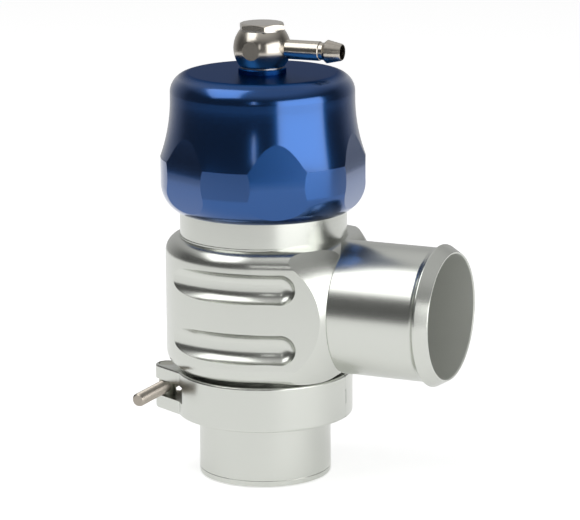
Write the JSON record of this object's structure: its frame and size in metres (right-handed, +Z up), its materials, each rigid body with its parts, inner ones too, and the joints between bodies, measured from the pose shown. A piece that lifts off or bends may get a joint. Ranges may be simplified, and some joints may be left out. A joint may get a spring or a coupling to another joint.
{
  "type": "blow-off valve",
  "caption": "Piston blow-off valve with a side outlet, a blue screwed cap with a banjo signal port, and an inlet adaptor held by a hinged clamp.",
  "frame": {"origin": "centre of the inlet spigot's lower end face", "axes": "+Z up the valve's axis from the inlet to the cap, +X along the outlet"},
  "size_m": [0.0886, 0.0584, 0.1307],
  "materials": {
    "machined_body": "satin turned and milled",
    "machined_adaptor": "satin turned",
    "machined_collar": "satin turned",
    "piston_aluminium": "turned",
    "blue_anodised": "glossy blue anodised",
    "nickel_plate": "polished nickel plate",
    "soft_washer": "plain",
    "screw_steel": "plain",
    "trunnion_steel": "passivated",
    "spring_steel": "plain",
    "sleeve_bronze": "turned",
    "nitrile_rubber": "matte",
    "bearing_plastic": "matte"
  },
  "bodies": {
    "clamped_inlet": {"inlet_adaptor": "machined_adaptor", "inlet_o_ring": "nitrile_rubber", "clamp_half_front": "machined_collar", "clamp_hinge_pin": "screw_steel"},
    "valve": {"valve_body": "machined_body", "guide_sleeve": "sleeve_bronze", "cap": "blue_anodised", "cap_o_ring": "nitrile_rubber", "spring_seat": "piston_aluminium", "main_spring": "spring_steel", "banjo_bolt": "nickel_plate", "banjo_washer_upper": "soft_washer", "banjo_washer_lower": "soft_washer"},
    "piston_group": {"piston": "piston_aluminium", "piston_face_seal": "nitrile_rubber", "piston_guide_ring": "bearing_plastic", "piston_seal_ring": "nitrile_rubber"},
    "banjo": {"banjo_fitting": "nickel_plate"},
    "rear_clamp": {"clamp_half_rear": "machined_collar"},
    "nut": {"trunnion_nut": "trunnion_steel"},
    "screw": {"clamp_screw": "screw_steel", "clamp_screw_washer": "screw_steel"},
    "bearing": {"trunnion_bearing": "trunnion_steel"}
  },
  "joints": [
    {"name": "body_clocking", "type": "hinge", "parent": "clamped_inlet", "child": "valve", "pos_m": [0, 0, 0.0243], "axis": [0, 0, 1], "continuous": true},
    {"name": "piston_lift", "type": "slide", "parent": "valve", "child": "piston_group", "axis": [0, 0, 1], "range_m": [0, 0.012], "stiffness_N_per_m": 2030, "springref_m": -0.02, "deforming": ["main_spring"]},
    {"name": "banjo_swivel", "type": "hinge", "parent": "valve", "child": "banjo", "pos_m": [0, 0, 0.1235], "axis": [0, 0, 1], "continuous": true},
    {"name": "clamp_open", "type": "hinge", "parent": "clamped_inlet", "child": "rear_clamp", "pos_m": [0.0236, 0, 0.0243], "axis": [0, 0, -1], "range_deg": [0, 8]},
    {"name": "nut_swing", "type": "hinge", "parent": "clamped_inlet", "child": "nut", "pos_m": [-0.0273, -0.0082, 0.0243], "axis": [0, 0, -1], "range_deg": [0, 4]},
    {"name": "screw_back_off", "type": "slide", "parent": "nut", "child": "screw", "axis": [0, 1, 0], "range_m": [0, 0.00707]},
    {"name": "bearing_turn", "type": "hinge", "parent": "rear_clamp", "child": "bearing", "pos_m": [-0.0273, 0.0082, 0.0243], "axis": [0, 0, 1], "range_deg": [0, 4]}
  ],
  "couplings": [
    {"joint": "nut_swing", "follows": "clamp_open", "ratio": 0.5},
    {"joint": "screw_back_off", "follows": "clamp_open", "m_per_rad": 0.0506},
    {"joint": "bearing_turn", "follows": "clamp_open", "ratio": 0.5}
  ]
}
